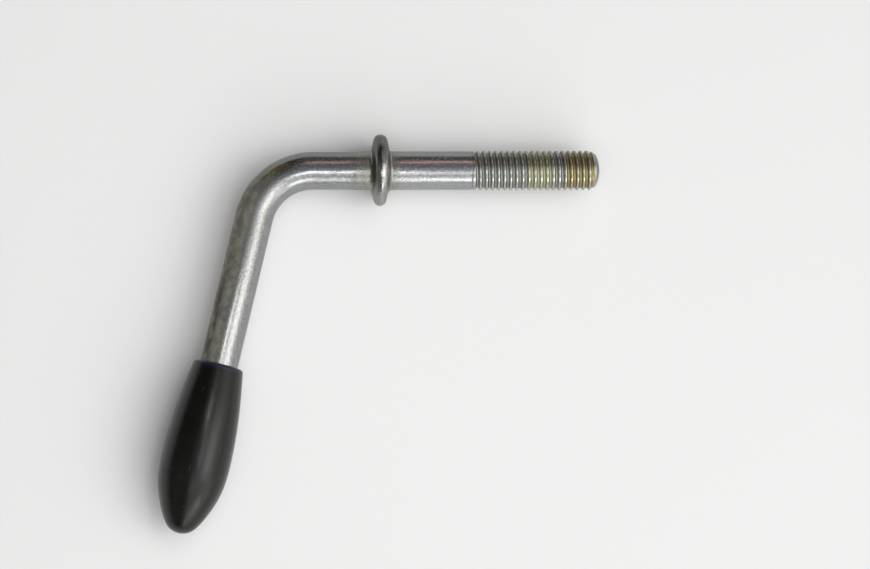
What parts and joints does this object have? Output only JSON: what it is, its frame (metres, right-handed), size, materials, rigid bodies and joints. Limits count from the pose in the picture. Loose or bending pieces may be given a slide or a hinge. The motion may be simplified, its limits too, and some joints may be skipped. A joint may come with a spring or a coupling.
{
  "type": "window crank operator",
  "caption": "Cranked clamping handle: bent round bar with a threaded end, a forged collar and a free-turning tapered grip.",
  "frame": {"origin": "centre of the collar, on the axis of the thread", "axes": "+X along the thread towards its tip; the arm and the grip run in the XY plane towards -Y; +Z across the crank's plane"},
  "size_m": [0.1413, 0.1263, 0.0232],
  "materials": {
    "zinc_steel": "zinc plated",
    "black_plastic": "satin moulded",
    "spring_steel": "oiled"
  },
  "bodies": {
    "bar": {"crank_bar": "zinc_steel", "retaining_ring": "spring_steel"},
    "grip": {"hand_grip": "black_plastic"}
  },
  "joints": [
    {"name": "grip_spin", "type": "hinge", "parent": "bar", "child": "grip", "pos_m": [-0.05169, -0.06196, 0], "axis": [-0.2351, -0.972, 0], "continuous": true}
  ]
}
